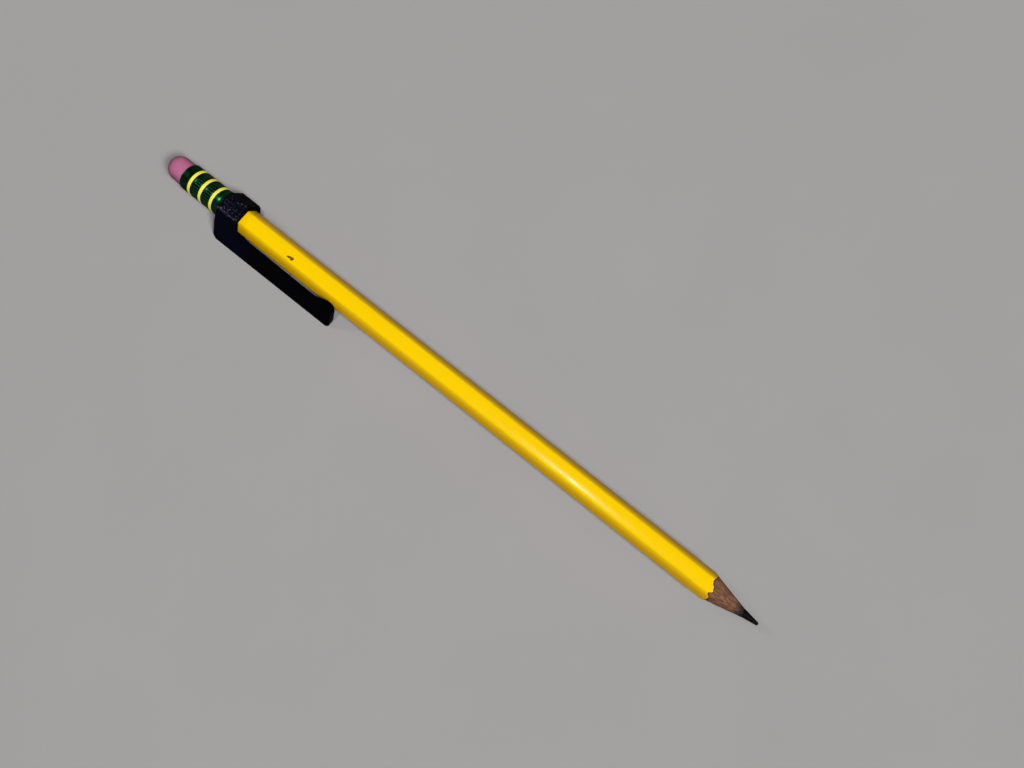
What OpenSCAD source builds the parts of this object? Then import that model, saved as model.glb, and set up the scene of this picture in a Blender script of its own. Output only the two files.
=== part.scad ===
// Hexagonal wood pencil wearing a printed pocket clip.
// The pencil lies along X with its tip at +X. The clip's flat underside is the plane z = 0,
// and the origin is the centre of the collar on that plane.

/* [Barrel] */
// Distance across two opposite painted flats
barrel_af = 6.8; // [6.4:0.1:7.4]
// Distance across two opposite rounded corners
barrel_corner_d = 7.48; // [7.4:0.02:7.8]
// Length from the front end of the ferrule to the tip of the lead
barrel_length = 172.5; // [90:0.5:180]
// Thickness of the paint film
lacquer_t = 0.1; // [0.05:0.01:0.2]

/* [Point] */
// Length from the first cut into the flats to the tip
point_length = 14.3; // [11:0.1:20]
// Length of bare lead in front of the wood
lead_exposed = 4.5; // [2:0.1:6]
// Diameter of the lead
lead_d = 2.1; // [1.8:0.1:3]
// Diameter of the worn tip
tip_d = 1.05; // [0.3:0.05:1.5]
// Gap that glue or primer fills round the lead, the tenon, the eraser's plug and the wood's corners
glue_gap = 0.03; // [0.02:0.01:0.06]

/* [Ferrule and eraser] */
// Length of the ferrule
ferrule_length = 13.8; // [12:0.1:18]
// Outer diameter over the beads and flutes
ferrule_d = 7.64; // [7.5:0.02:8]
// Depth of the plain sleeve below the beads and flutes
ferrule_relief = 0.12; // [0.08:0.01:0.18]
// Length of the smooth bead at each end
bead_length = 2; // [1.2:0.1:2.2]
// Rounding of the bead's edges
bead_round = 0.1; // [0.04:0.01:0.12]
// Width of one painted band
band_width = 0.9; // [0.6:0.1:1.2]
// Thickness of one painted band
band_t = 0.1; // [0.05:0.01:0.12]
// Distance from one band to the next
band_pitch = 3.8; // [3.4:0.1:4.2]
// Plain sleeve left on each side of a band
band_margin = 0.25; // [0.1:0.05:0.4]
// Number of flutes round the ferrule
flute_count = 31; // [24:1:60]
// Diameter of the eraser's free end
eraser_d = 6.8; // [6.4:0.1:6.9]
// How far the ferrule squeezes the eraser's plug on each side
eraser_squeeze = 0.05; // [0.03:0.01:0.1]
// Length of eraser behind the ferrule
eraser_reach = 6.3; // [3:0.1:9]
// Rounding of the eraser's end
eraser_round = 2.7; // [1:0.1:2.9]
// Length of the wood's turned tenon inside the ferrule
tenon_length = 6; // [4:0.1:8]
// Gap between the tenon and the eraser
plug_gap = 0.2; // [0.1:0.05:0.5]

/* [Clip] */
// Distance across the collar's outer flats
collar_af = 9.3; // [9:0.1:11]
// Length of the collar along the barrel
collar_length = 6.7; // [5:0.1:12]
// Gap between the collar and the ferrule that stops it
stop_gap = 0.2; // [0.1:0.05:1]
// Clearance of the bore on each side of the barrel
bore_clearance = 0.1; // [0.08:0.01:0.15]
// Distance from the pencil's axis to the clip's sloped face
slope_offset = 4.7; // [4.65:0.05:6]
// Angle of the sloped face from upright, in degrees
slope_angle = 32.5; // [30:0.5:35]
// Rounding of the collar's rear outer and front inner corners, seen from above
collar_round = 0.75; // [0.3:0.05:1]
// Length of the arm in front of the collar
arm_length = 34; // [20:0.2:50]
// Gap between the barrel's side corner and the arm's plain inner face
arm_gap = 0.5; // [0.4:0.01:1.2]
// Gap between the barrel's side corner and the arm's bump and root
grip_gap = 0.12; // [0.1:0.01:0.2]
// Length of the thick root beside the collar
root_length = 1.4; // [0.8:0.1:3]
// Radius of the fillet from the root to the plain inner face
root_fillet = 24; // [10:1:30]
// Radius of the bump
bump_r = 18; // [8:1:24]
// Distance from the bump's crest to the arm's end
bump_setback = 1.7; // [0.9:0.1:3]
// Rounding of the arm's inner end corner
end_round = 0.8; // [0.3:0.1:0.9]
// Gap at the root where the arm's flexure bends
flex_gap = 0.12; // [0.1:0.01:0.2]

/* [Hidden] */
$fn = 96;
past = 1;
half = collar_af / 2;
axis_z = half;
collar_x0 = -collar_length / 2;
collar_x1 = collar_length / 2;

ferrule_x1 = collar_x0 - stop_gap;
ferrule_x0 = ferrule_x1 - ferrule_length;
sleeve_r = ferrule_d / 2 - ferrule_relief;
plug_d = eraser_d - 2 * eraser_squeeze;
ferrule_bore_d = plug_d + 2 * glue_gap;
tenon_d = ferrule_bore_d - 2 * glue_gap;
tenon_x0 = ferrule_x1 - tenon_length;
eraser_x0 = ferrule_x0 - eraser_reach;
eraser_x1 = tenon_x0 - plug_gap;
band_middle_x = (ferrule_x0 + ferrule_x1) / 2;

tip_x = ferrule_x1 + barrel_length;
lead_x = tip_x - lead_exposed;
lead_r = lead_d / 2;
point_slope = (barrel_af / 2 - lead_r) / (point_length - lead_exposed);
groove_d = lead_d + 2 * glue_gap;
wood_af = barrel_af - 2 * lacquer_t;
coat_corner_d = barrel_corner_d - 2 * lacquer_t;
wood_corner_d = coat_corner_d - 2 * glue_gap;

bore_af = barrel_af + 2 * bore_clearance;
side_y = -barrel_corner_d / 2;
arm_inner_y = side_y - arm_gap;
grip_y = side_y - grip_gap;
arm_outer_y = slope_y(-half);
arm_x0 = collar_x1 + flex_gap;
arm_x1 = collar_x1 + arm_length;
root_x = collar_x1 + root_length;
root_rise = grip_y - arm_inner_y;
root_run = sqrt(root_fillet * root_fillet - pow(root_fillet - root_rise, 2));
bump_x = arm_x1 - bump_setback;

yellow = "gold";
green = "darkgreen";
lemon = "yellow";
pink = "palevioletred";
wood_tone = "rosybrown";
lead_tone = "dimgray";
clip_tone = "#17161c";

// Place of the sloped face across the pencil, at a height above the axis
function slope_y(z) = -(slope_offset - z * sin(slope_angle)) / cos(slope_angle);

// Height of the sloped face above the axis, at a place across the pencil
function slope_z(y) = (slope_offset + y * cos(slope_angle)) / sin(slope_angle);

// Place along the pencil where the sharpened cone has a given radius
function point_x(r) = lead_x - (r - lead_r) / point_slope;

// Outline of a fluted ring: points alternate between crest and valley
function flute_points(crest_r, valley_r) =
    [for (i = [0 : 2 * flute_count - 1])
        let (r = i % 2 == 0 ? crest_r : valley_r, a = i * 180 / flute_count)
            [r * cos(a), r * sin(a)]];

// Turns a shape's Z axis onto the pencil's axis
module on_axis(x) {
    translate([x, 0, axis_z]) rotate([0, 90, 0]) children();
}

// Extrudes a cross-section, drawn as y and height above the axis, along the pencil
module sweep(x0, x1) {
    translate([x0, 0, axis_z]) rotate([90, 0, 90]) linear_extrude(x1 - x0) children();
}

module rod(d, x0, x1) {
    on_axis(x0) cylinder(d = d, h = x1 - x0);
}

module hex_rod(af, x0, x1) {
    on_axis(x0) rotate([0, 0, 30]) cylinder(d = af / cos(30), h = x1 - x0, $fn = 6);
}

// Hexagonal rod with its corners turned round
module barrel_rod(af, corner_d, x0, x1) {
    intersection() {
        hex_rod(af, x0, x1);
        rod(corner_d, x0, x1);
    }
}

// Space left by the sharpener: a straight shank, the wood's cone and the slimmer lead
module point_envelope() {
    shank_r = barrel_corner_d / 2 + past;
    on_axis(0) rotate_extrude() polygon([[0, ferrule_x0], [shank_r, ferrule_x0], [shank_r, point_x(shank_r)],
        [lead_r, lead_x], [tip_d / 2, tip_x], [0, tip_x]]);
}

module wood_body() {
    difference() {
        intersection() {
            union() {
                barrel_rod(wood_af, tenon_d, tenon_x0, ferrule_x1 + past);
                barrel_rod(wood_af, wood_corner_d, ferrule_x1, tip_x);
            }
            point_envelope();
        }
        rod(groove_d, tenon_x0 - past, tip_x + past);
    }
}

// Half of the space round the pencil, above the axis for side = 1 and below it for side = -1
module half_space(side) {
    depth = barrel_corner_d;
    translate([tenon_x0 - past, -depth, side > 0 ? axis_z : axis_z - depth])
        cube([tip_x - tenon_x0 + 2 * past, 2 * depth, depth]);
}

module graphite_core() {
    color(lead_tone) intersection() {
        rod(lead_d, tenon_x0, tip_x);
        point_envelope();
    }
}

module wood_slat_upper() {
    color(wood_tone) intersection() {
        wood_body();
        half_space(1);
    }
}

module wood_slat_lower() {
    color(wood_tone) intersection() {
        wood_body();
        half_space(-1);
    }
}

module lacquer_coat() {
    color(yellow) difference() {
        intersection() {
            barrel_rod(barrel_af, barrel_corner_d, ferrule_x1, tip_x);
            point_envelope();
        }
        barrel_rod(wood_af, coat_corner_d, ferrule_x1 - past, tip_x + past);
    }
}

// Smooth raised ring with rounded edges, turned about the axis
module bead(x0, x1) {
    edge_r = ferrule_d / 2 - bead_round;
    on_axis(0) rotate_extrude() union() {
        translate([0, x0]) square([edge_r, x1 - x0]);
        translate([0, x0 + bead_round]) square([ferrule_d / 2, x1 - x0 - 2 * bead_round]);
        for (x = [x0 + bead_round, x1 - bead_round]) translate([edge_r, x]) circle(bead_round);
    }
}

module fluted_ring(x0, x1) {
    on_axis(x0) linear_extrude(x1 - x0) polygon(flute_points(ferrule_d / 2, sleeve_r));
}

module ferrule() {
    band_edge = band_width / 2 + band_margin;
    color(green) difference() {
        union() {
            rod(2 * sleeve_r, ferrule_x0, ferrule_x1);
            bead(ferrule_x0, ferrule_x0 + bead_length);
            bead(ferrule_x1 - bead_length, ferrule_x1);
            fluted_ring(band_middle_x - band_pitch + band_edge, band_middle_x - band_edge);
            fluted_ring(band_middle_x + band_edge, band_middle_x + band_pitch - band_edge);
        }
        rod(ferrule_bore_d, ferrule_x0 - past, ferrule_x1 + past);
    }
}

// Painted ring round the sleeve, centred at a place along the pencil
module ferrule_band(x) {
    color(lemon) difference() {
        rod(2 * (sleeve_r + band_t), x - band_width / 2, x + band_width / 2);
        rod(2 * sleeve_r, x - band_width, x + band_width);
    }
}

module ferrule_band_rear() {
    ferrule_band(band_middle_x - band_pitch);
}

module ferrule_band_middle() {
    ferrule_band(band_middle_x);
}

module ferrule_band_front() {
    ferrule_band(band_middle_x + band_pitch);
}

module eraser() {
    color(pink) on_axis(0) rotate_extrude() union() {
        translate([0, eraser_x0 + eraser_round]) square([eraser_d / 2, eraser_reach - eraser_round]);
        translate([0, ferrule_x0]) square([plug_d / 2, eraser_x1 - ferrule_x0]);
        translate([0, eraser_x0]) square([eraser_d / 2 - eraser_round, eraser_round]);
        intersection() {
            translate([eraser_d / 2 - eraser_round, eraser_x0 + eraser_round]) circle(eraser_round);
            translate([0, eraser_x0]) square([eraser_d / 2, eraser_round]);
        }
    }
}

// Cross-section of the collar: a hexagon whose left corner is filled out to the sloped face
module collar_outline() {
    flat_y = half * tan(30);
    polygon([[slope_y(half), half], [flat_y, half], [half / cos(30), 0], [flat_y, -half], [arm_outer_y, -half]]);
}

// Waste outside a rounded corner of a plan view; turn points the corner
module corner_waste(x, y, r, turn) {
    translate([x, y]) rotate(turn) difference() {
        translate([-r, -r]) square(r + past);
        translate([-r, -r]) circle(r);
    }
}

module collar_plan() {
    right_y = half / cos(30);
    difference() {
        translate([collar_x0, arm_outer_y]) square([collar_length, right_y - arm_outer_y]);
        corner_waste(collar_x0, arm_outer_y, collar_round, 180);
        corner_waste(collar_x1, right_y, collar_round, 0);
    }
}

module clip_collar() {
    color(clip_tone) difference() {
        intersection() {
            sweep(collar_x0, collar_x1) collar_outline();
            linear_extrude(collar_af) collar_plan();
        }
        hex_rod(bore_af, collar_x0 - past, collar_x1 + past);
    }
}

// Plan view of the arm: plain bar, filleted root and rounded bump
module arm_plan() {
    difference() {
        union() {
            translate([arm_x0, arm_outer_y]) square([arm_x1 - arm_x0, arm_inner_y - arm_outer_y]);
            difference() {
                translate([arm_x0, arm_outer_y]) square([root_x + root_run - arm_x0, grip_y - arm_outer_y]);
                translate([root_x + root_run, arm_inner_y + root_fillet]) circle(root_fillet);
            }
            intersection() {
                translate([bump_x, grip_y - bump_r]) circle(bump_r);
                translate([root_x + root_run, arm_outer_y])
                    square([arm_x1 - root_x - root_run, grip_y - arm_outer_y]);
            }
        }
        corner_waste(arm_x1, grip_y, end_round, 0);
    }
}

module clip_arm() {
    color(clip_tone) intersection() {
        sweep(arm_x0, arm_x1) polygon([[arm_outer_y, -half], [side_y, -half], [side_y, slope_z(side_y)]]);
        linear_extrude(collar_af) arm_plan();
    }
}

graphite_core();
wood_slat_upper();
wood_slat_lower();
lacquer_coat();
ferrule();
ferrule_band_rear();
ferrule_band_middle();
ferrule_band_front();
eraser();
clip_collar();
clip_arm();
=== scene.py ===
"""Dresses a packed hexagonal pencil that wears a printed pocket clip, for one studio picture.

Sizes in the shape code are millimetres in the row frame and become metres when a mesh is made.
The pencil lies along X with its tip at +X, and the clip's flat underside is the floor.
"""

import math

import bpy
import numpy as np
from mathutils import Matrix, Vector, noise


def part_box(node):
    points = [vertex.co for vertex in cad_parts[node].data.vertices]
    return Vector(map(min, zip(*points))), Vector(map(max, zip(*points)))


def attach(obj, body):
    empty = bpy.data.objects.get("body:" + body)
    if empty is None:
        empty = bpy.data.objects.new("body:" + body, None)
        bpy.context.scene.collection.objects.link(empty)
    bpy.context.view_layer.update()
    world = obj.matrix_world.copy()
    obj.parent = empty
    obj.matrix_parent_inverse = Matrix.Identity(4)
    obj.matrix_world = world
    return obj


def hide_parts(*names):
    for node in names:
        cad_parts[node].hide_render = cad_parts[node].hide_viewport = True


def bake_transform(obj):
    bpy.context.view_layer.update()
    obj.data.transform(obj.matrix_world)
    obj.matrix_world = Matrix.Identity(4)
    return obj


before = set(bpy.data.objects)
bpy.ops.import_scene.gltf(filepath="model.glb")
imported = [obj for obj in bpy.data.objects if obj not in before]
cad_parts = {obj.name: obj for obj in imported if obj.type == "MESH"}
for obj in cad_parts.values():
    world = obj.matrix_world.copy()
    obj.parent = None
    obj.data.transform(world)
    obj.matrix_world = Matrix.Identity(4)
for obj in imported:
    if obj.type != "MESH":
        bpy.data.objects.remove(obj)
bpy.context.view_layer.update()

MM = 0.001
SIXTH = math.pi / 3


def cad_box(node):
    """Lowest and highest corner of a CAD node in millimetres."""
    low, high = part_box(node)
    return np.array(low) / MM, np.array(high) / MM


# Places read from the frame
CORE_LOW, CORE_HIGH = cad_box("graphite_core")
COAT_LOW, COAT_HIGH = cad_box("lacquer_coat")
WOOD_LOW = cad_box("wood_slat_upper")[0]
SLEEVE_LOW, SLEEVE_HIGH = cad_box("ferrule")
ERASER_LOW, ERASER_HIGH = cad_box("eraser")
COLLAR_LOW, COLLAR_HIGH = cad_box("clip_collar")
ARM_LOW, ARM_HIGH = cad_box("clip_arm")

AXIS_Z = (CORE_LOW[2] + CORE_HIGH[2]) / 2
FLAT_R = (COAT_HIGH[2] - COAT_LOW[2]) / 2
LEAD_R = (CORE_HIGH[1] - CORE_LOW[1]) / 2
TIP_X = CORE_HIGH[0]
SLEEVE_R = (SLEEVE_HIGH[1] - SLEEVE_LOW[1]) / 2
ERASER_R = (ERASER_HIGH[1] - ERASER_LOW[1]) / 2

# Barrel and its paint
FACET_CROWN_R = 12.0
CORNER_SOFTNESS = 16.0
CORNER_HALF = math.radians(9)
# Degrees from a facet's normal at which the outline has points
FACET_DEGREES = (-30, -28, -26, -23.5, -20, -15.5, -10.5, -5, 0, 5, 10.5, 15.5, 20, 23.5, 26, 28)
COAT_T = 0.1
COAT_WAVE = 0.008
COAT_STATIONS = 110
SETTLE_LENGTH = 5.0
SETTLE_SHARES = (0.3, 0.55, 0.75, 0.88, 0.95)
# Distance behind the cut, depth and darkness of the rows round the paint's lip; the darkness is partly the
# cut film's colour and partly painted shade
LIP_ROWS = ((0.06, 0.0, 0.0), (0.03, 0.015, 0.5), (0.0, 0.05, 1.0), (0.0, COAT_T, 1.0))
# Centre, direction in degrees, half-length and half-width of the two lobes of the chip
CHIP_LOBES = (
    ((20.15, -0.80), 14, 0.95, 0.30),
    ((20.95, -0.78), 50, 0.52, 0.42),
)
CHIP_WOBBLE = 1.4
CHIP_DEPTH = 0.05

# Sharpened point
POINT_LENGTH = 14.3
LEAD_LENGTH = 4.5
LEAD_X = TIP_X - LEAD_LENGTH
POINT_SLOPE = (FLAT_R - LEAD_R) / (POINT_LENGTH - LEAD_LENGTH)
TIP_R = 0.5
TAPER_END_X = TIP_X - TIP_R
NOTCH_X = TIP_X - 14.85
TONGUE_DEPTH = 0.8
TONGUE_VARY = 0.3
TONGUE_LEAN = 8.0
TONGUE_HALF = 9.0
TONGUE_FALL = 9.0
# Size, number round the barrel and phase of the waves along the ragged cut
RAGGED_WAVES = ((0.10, 13, 2.4), (0.05, 29, 0.6))
CUT_MEAN = 0.25
CUT_OFFSET = 0.6
CUT_OVAL = 0.25
CONE_SHARE = 0.6
LEAD_POINTS = 64
WORN_FLAT = 0.10
WORN_TURN = 0.9
WORN_LUMPS = 0.018
WORN_INSET = 0.012

# Wood
SLAT_GAP = 0.02
GROOVE_GAP = 0.03
SLAT_POINTS = 97
SHAVING_DEPTH = 0.035
SHAVING_INSET = 0.02
LIP_STEP = 0.06
LIP_STEP_LENGTH = 0.5
LIP_SHADE_AT = 0.1
LIP_SHADE_LENGTH = 0.4
THIN_WOOD = 0.04

# Ferrule
SLEEVE_RELIEF = 0.12
RELIEF_R = SLEEVE_R - SLEEVE_RELIEF
BORE_R = 3.38
BORE_INSET = 0.3
END_ZONE = 2.0
LIP_R = 0.15
STEP = 0.02
RAMP = 0.03
BAND_EDGE = 0.6
ZONE_BEAD = 0.75
FRONT_BEAD_GAP = 0.2
FRONT_BEAD_X = SLEEVE_HIGH[0] - END_ZONE + FRONT_BEAD_GAP
FRONT_BEAD_RISE = 0.3
FRONT_BEAD_DROP = 0.22
FRONT_BEAD_HIGHLIGHT_FADE = 1.6
FLUTES = 31
FLUTE_POINTS = 8
FLUTE_DEPTH = 0.06
GLINT_FLANK = math.tan(math.radians(20))
BAND_SEAT = 0.02
BAND_POINTS = 128
BAND_EDGE_SHARE = 0.35
BAND_LINE_DEPTH = 0.03
BAND_LINE_HALF = 0.14
BAND_UNEVEN = 0.004
BAND_WAVES = 7

# Eraser
ERASER_ROUND = 2.7
ERASER_POINTS = 112
ERASER_LUMPS = 0.05
ERASER_GRAIN = 0.02
ERASER_LEAN = 0.14
PLUG_R = 3.35
PLUG_FIT_R = PLUG_R - 0.01
PLUG_CHAMFER = 0.3
SEAT_EDGE = 0.03

# Clip
HEX_SLOPE = math.tan(math.radians(30))
SLOPE = math.tan(math.radians(32.5))
LAYER = 0.2
LAYER_DEPTH = 0.02
EDGE_ROUND = 0.3
TRACE = 0.02
CORNER_POINTS = 5
# Rounding of the corners, and number of points along the edge after each corner
COLLAR_EDGES = (0.12, 0.3, 0.25, 0.6, 0.05)
COLLAR_COUNTS = (70, 70, 44, 138, 24)
ARM_EDGES = (0.1, 0.07, 0.05)
ARM_COUNTS = (100, 120, 20)
# Distances from an end face at which the rings round it stand
COLLAR_END_STEPS = (0.0, 0.03, 0.08, 0.15, 0.24)
ARM_END_STEPS = (*COLLAR_END_STEPS, 0.34, 0.46, 0.6, 0.8, 1.0, 1.2, 1.4, 1.6, 1.85, 2.1, 2.35)
COLLAR_END_ROUND = 0.8 * EDGE_ROUND
COLLAR_PLAN_ROUND = 0.75
COLLAR_STEP = 0.12
TOP_GRAIN_DEPTH = 0.03
TOP_GRAIN_SIZE = 0.32
TOP_FINE_SHARE = 0.6
REAR_ROUND = 1.3
REAR_REACH = 0.55
REAR_REACH_Y = -3.0
REAR_REACH_RUN = 2.2
REAR_REACH_LENGTH = 2.4
BORE_FLAT_R = 3.5
BORE_EDGE = 0.05
ARM_OVERLAP = 0.6
ARM_INNER_Y = -4.24
ARM_SPLAY = 0.0075
SPLAY_X = 18.0
GRIP_Y = ARM_HIGH[1]
BUMP_Y = GRIP_Y - 0.02
BUMP_START = 31.2
BUMP_FULL = 35.5
BUMP_LEAN = 0.48
ARM_END_X = ARM_HIGH[0] - 0.1
ROOT_LENGTH = 1.4
ROOT_FILLET = 24.0
CROWN_END_ROUND = 1.1
FOOT_END_ROUND = 2.3
OUTER_END_ROUND = 1.1
END_LEAN = 0.15
LEAN_LENGTH = 2.4
RIM_INSET = 0.35
RIM_REACH = 0.55
END_RIM_SHARE = 0.33
END_RIM_AT = 0.4
END_RIM_HALF = 0.3
END_RIM_FADE = 0.8

# Colours, as linear red, green and blue
LACQUER_DEEP = (0.92, 0.585, 0.0006)
LACQUER_LIGHT = (0.99, 0.635, 0.0012)
# Painted shade: the side facets below the top are deeper than the top
LACQUER_SIDE_SHADE = (0.71, 0.36, 0.0005)
# Painted shade: the +Y side deeper still
LACQUER_FAR_SIDE_SHADE = (0.50, 0.24, 0.0004)
LACQUER_WORN = (0.70, 0.39, 0.006)
LACQUER_SPECK = (0.25, 0.13, 0.01)
LACQUER_CHIP = (0.19, 0.068, 0.002)
# The paint's cut lip: partly its own cut colour, partly painted shade
LACQUER_CUT_AND_SHADE = (0.17, 0.085, 0.006)
WOOD_DEEP = (0.11, 0.048, 0.028)
WOOD_LIGHT = (0.265, 0.127, 0.073)
WOOD_FINE = (0.075, 0.031, 0.018)
WOOD_PORE = (0.05, 0.02, 0.012)
WOOD_SMUDGE = (0.012, 0.009, 0.009)
# Painted shadow on the wood just in front of the paint's lip
WOOD_LIP_SHADOW = (0.022, 0.010, 0.004)
GRAPHITE_DEEP = (0.0016, 0.0012, 0.0015)
GRAPHITE_LIGHT = (0.0052, 0.004, 0.005)
GREEN_DEEP = (0.002, 0.034, 0.014)
GREEN_LIGHT = (0.004, 0.050, 0.022)
GREEN_RUBBED = (0.08, 0.17, 0.11)
# Painted highlight on the flute ridges
GREEN_RIDGE_HIGHLIGHT = (0.022, 0.19, 0.095)
# Painted shade in the flute valleys
GREEN_VALLEY_SHADE = (0.0009, 0.014, 0.006)
# Painted highlight on the top of the front bead
GREEN_BEAD_HIGHLIGHT = (0.008, 0.15, 0.042)
GREEN_GLOSS = (0.02, 0.06, 0.05, 1.0)
LEMON_DEEP = (0.90, 0.80, 0.03)
LEMON_LIGHT = (0.97, 0.93, 0.09)
LEMON_WORN = (0.20, 0.26, 0.02)
PINK_DEEP = (0.42, 0.112, 0.226)
PINK_LIGHT = (0.52, 0.157, 0.295)
PINK_GRAIN = (0.62, 0.27, 0.37)
# Painted shade towards the eraser's end
PINK_END_SHADE = (0.16, 0.055, 0.10)
# Painted shade on the eraser's sides below the top
PINK_SIDE_SHADE = (0.22, 0.065, 0.125)
PINK_SMUDGE = (0.12, 0.06, 0.075)
BLACK_DEEP = (0.0004, 0.0004, 0.0011)
BLACK_LIGHT = (0.0008, 0.0008, 0.0022)
# Painted bluish reflection on the clip's sloped side near the collar
BLACK_NEAR_COLLAR_REFLECTION = (0.0014, 0.0014, 0.0070)
# Painted lighter tone on upward faces, for the light they catch
BLACK_TOP_LIT = (0.0028, 0.0028, 0.0075)
# Painted glints on the coarse top
BLACK_SPARK_GLINT = (0.085, 0.088, 0.115)
BLACK_SCUFF = (0.03, 0.03, 0.038)
# Painted highlight along the rims
BLACK_RIM_HIGHLIGHT = (0.15, 0.15, 0.172)
FLOOR_DEEP = (0.345, 0.335, 0.334)
FLOOR_LIGHT = (0.365, 0.355, 0.353)
FLOOR_BOUNCE = (0.08, 0.078, 0.077)
HORIZON = (0.345, 0.336, 0.334)
ZENITH = (0.04, 0.04, 0.042)
AMBIENT = (0.024, 0.0245, 0.025)

# Places between which a colour fades in: heights over the axis, then Y, then lengths along X
LACQUER_SIDE_FADE = (3.3, 1.3)
ERASER_SIDE_FADE = (3.2, 0.4)
BEAD_LIT_FADE = (1.9, 3.6)
LACQUER_FAR_FADE = (2.0, 3.3)
NEAR_COLLAR_FADE = (2.0, 0.0)
SPARK_FADE = (1.6, -2.2)
ERASER_END_LENGTH = 4.2
NEAR_COLLAR_LENGTH = 8.0
SMUDGE_BEHIND = 2.6
SMUDGE_AHEAD = 1.0
SMUDGE_WOBBLE = 2.4

# Studio, in metres
FLOOR_HALF = 3.0
FLOOR_Z = -0.00002
HORIZON_HEIGHT = 0.1
ZENITH_HEIGHT = 0.75
SCENE_MIDDLE = Vector((0.075, 0.0, 0.0))
# Name, direction, strength and width in degrees
FAR_LAMPS = (
    ("point_lamp", Vector((0.66, -0.09, 0.74)), 2.7, 17),
    ("eraser_lamp", Vector((-0.78, -0.08, 0.64)), 0.48, 15),
)
HIGH_LAMP_AT = Vector((0.134, -0.05, 0.90))
HIGH_LAMP_WATTS = 2.1
HIGH_LAMP_SIZE = (0.03, 0.09)

# Camera, from the photograph's perspective, in metres
CAMERA_AT = Vector((0.108189, -0.01974, 0.197819))
CAMERA_FORWARD = Vector((-0.11447, 0.148031, -0.982336))
CAMERA_UP = Vector((-0.611087, 0.76913, 0.187112))
CAMERA_NEAR = 0.005
FOCAL_PX = 769.0
IMAGE_W = 1024
SENSOR_W = 36.0


# Mesh helpers


def smooth_noise(x, y, z, size):
    """Seedless smooth noise from -1 to 1, with features of about the given size."""
    return noise.noise(Vector((x / size, y / size, z / size)))


def on_axis(x, r, angle):
    """Point at a distance r from the pencil's axis, with the angle measured from +Y towards +Z."""
    return (x, r * math.cos(angle), AXIS_Z + r * math.sin(angle))


def from_facet(angle):
    """Angle from the normal of the nearest of six facets, one of which faces up."""
    return (angle - math.pi / 2 + SIXTH / 2) % SIXTH - SIXTH / 2


def round_angles(segments):
    """Even angles once round the axis."""
    return [2 * math.pi * k / segments for k in range(segments)]


def outward(verts, faces):
    """The same shell, with all its faces turned round if it is inside out."""
    points = np.array(verts)
    fans = np.array([(f[0], f[k], f[k + 1]) for f in faces for k in range(1, len(f) - 1)])
    a, b, c = (points[fans[:, k]] for k in range(3))
    volume = np.einsum("ij,ij->i", a - points[0], np.cross(b - points[0], c - points[0])).sum()
    return verts, faces if volume > 0 else [face[::-1] for face in faces]


def skin(rings, closed=False):
    """Points of rings with equal counts, and quads from ring to ring, also from last to first if closed."""
    count = len(rings[0])
    verts = [tuple(p) for ring in rings for p in ring]
    faces = []
    for k in range(len(rings) if closed else len(rings) - 1):
        a = k * count
        b = (k + 1) % len(rings) * count
        for i in range(count):
            j = (i + 1) % count
            faces.append((a + i, a + j, b + j, b + i))
    return verts, faces


def loft(rings):
    """Vertices and faces of a skin over closed rings, with fans over its two ends."""
    verts, faces = skin(rings)
    count = len(rings[0])
    for start in (0, (len(rings) - 1) * count):
        hub = len(verts)
        verts.append(tuple(np.mean(verts[start:start + count], axis=0)))
        fan = [(hub, start + i, start + (i + 1) % count) for i in range(count)]
        faces += fan if start else [face[::-1] for face in fan]
    return outward(verts, faces)


def half_shell(rings):
    """A skin over rings that run out along one arc and back along another, with strips across its ends."""
    verts, faces = skin(rings)
    count = len(rings[0])
    end = len(verts) - count
    for i in range(count // 2 - 1):
        strip = (i, i + 1, count - 2 - i, count - 1 - i)
        faces.append(strip[::-1])
        faces.append(tuple(end + k for k in strip))
    return outward(verts, faces)


def tube_loft(rings):
    """Vertices and faces of a ring-shaped skin: the last ring joins the first."""
    return outward(*skin(rings, closed=True))


def joined(*shells):
    """One vertex list and face list from several."""
    verts, faces = [], []
    for v, f in shells:
        faces += [tuple(i + len(verts) for i in face) for face in f]
        verts += v
    return verts, faces


def piece(name, shell, material, sharp):
    """A mesh object from vertices in millimetres, smooth but for edges over the sharp angle in degrees."""
    verts, faces = shell
    mesh = bpy.data.meshes.new(name)
    mesh.from_pydata((np.array(verts) * MM).tolist(), [], faces)
    mesh.shade_smooth()
    mesh.set_sharp_from_angle(angle=math.radians(sharp))
    mesh.materials.append(material)
    obj = bpy.data.objects.new(name, mesh)
    bpy.context.scene.collection.objects.link(obj)
    return obj


def point_values(obj, name, values):
    """Stores one number per vertex for a material to read."""
    layer = obj.data.attributes.new(name, "FLOAT", "POINT")
    layer.data.foreach_set("value", np.array(values, np.float32))


def revolve(profile, segments, bump):
    """Rings of a turned shape from (x, r) pairs, with bump(x, r, angle) added to the radius."""
    angles = round_angles(segments)
    return [[on_axis(x, r + bump(x, r, a), a) for a in angles] for x, r in profile]


def arc(cx, cr, radius, start, end, steps):
    """(x, r) points along a circular arc, with angles in degrees from +x towards +r."""
    angles = np.radians(np.linspace(start, end, steps))
    return [(cx + radius * math.cos(a), cr + radius * math.sin(a)) for a in angles]


# Material helpers


def colour_sockets(sockets):
    """The colours among the inputs or outputs of a mix node."""
    return [s for s in sockets if s.type == "RGBA"]


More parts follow.
